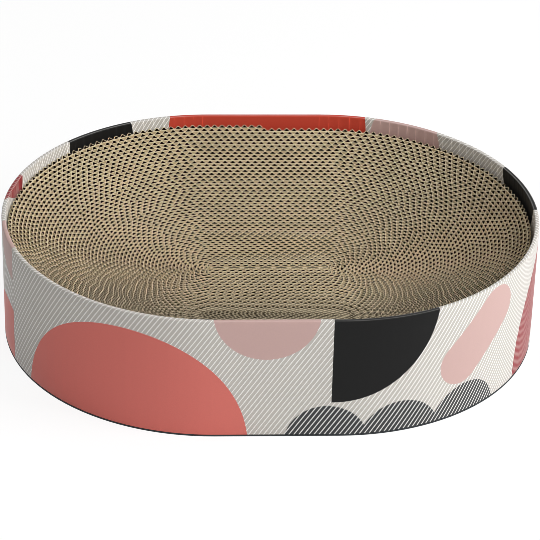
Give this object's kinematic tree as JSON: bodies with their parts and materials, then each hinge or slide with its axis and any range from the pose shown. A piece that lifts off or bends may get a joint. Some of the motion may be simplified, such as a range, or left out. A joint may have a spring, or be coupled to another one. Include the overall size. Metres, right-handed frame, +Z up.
{
  "type": "cardboard cat scratcher",
  "caption": "Low oval scratching bed: a printed board wall folded over at the rim, round a wound corrugated pad with a shallow bowl in its cut edge.",
  "frame": {"origin": "middle of the underside, on the floor", "axes": "+X along the bed's length, -Y towards its front, +Z up"},
  "size_m": [0.53, 0.412, 0.128],
  "materials": {
    "corrugated_kraft": "matte",
    "printed_board": "satin",
    "liner_board": "matte",
    "dark_board": "matte"
  },
  "bodies": {
    "shell": {"base_board": "dark_board", "floor_liner": "liner_board", "wall_sheet_front": "printed_board", "wall_sheet_back": "printed_board"},
    "pad": {"pad_core": "corrugated_kraft", "pad_strip_1": "corrugated_kraft", "pad_strip_2": "corrugated_kraft", "pad_strip_3": "corrugated_kraft", "pad_strip_4": "corrugated_kraft", "pad_strip_5": "corrugated_kraft", "pad_strip_6": "corrugated_kraft", "pad_strip_7": "corrugated_kraft", "pad_strip_8": "corrugated_kraft"}
  },
  "joints": [
    {"name": "pad_lift", "type": "slide", "parent": "shell", "child": "pad", "axis": [0, 0, 1], "range_m": [0, 0.13]}
  ]
}
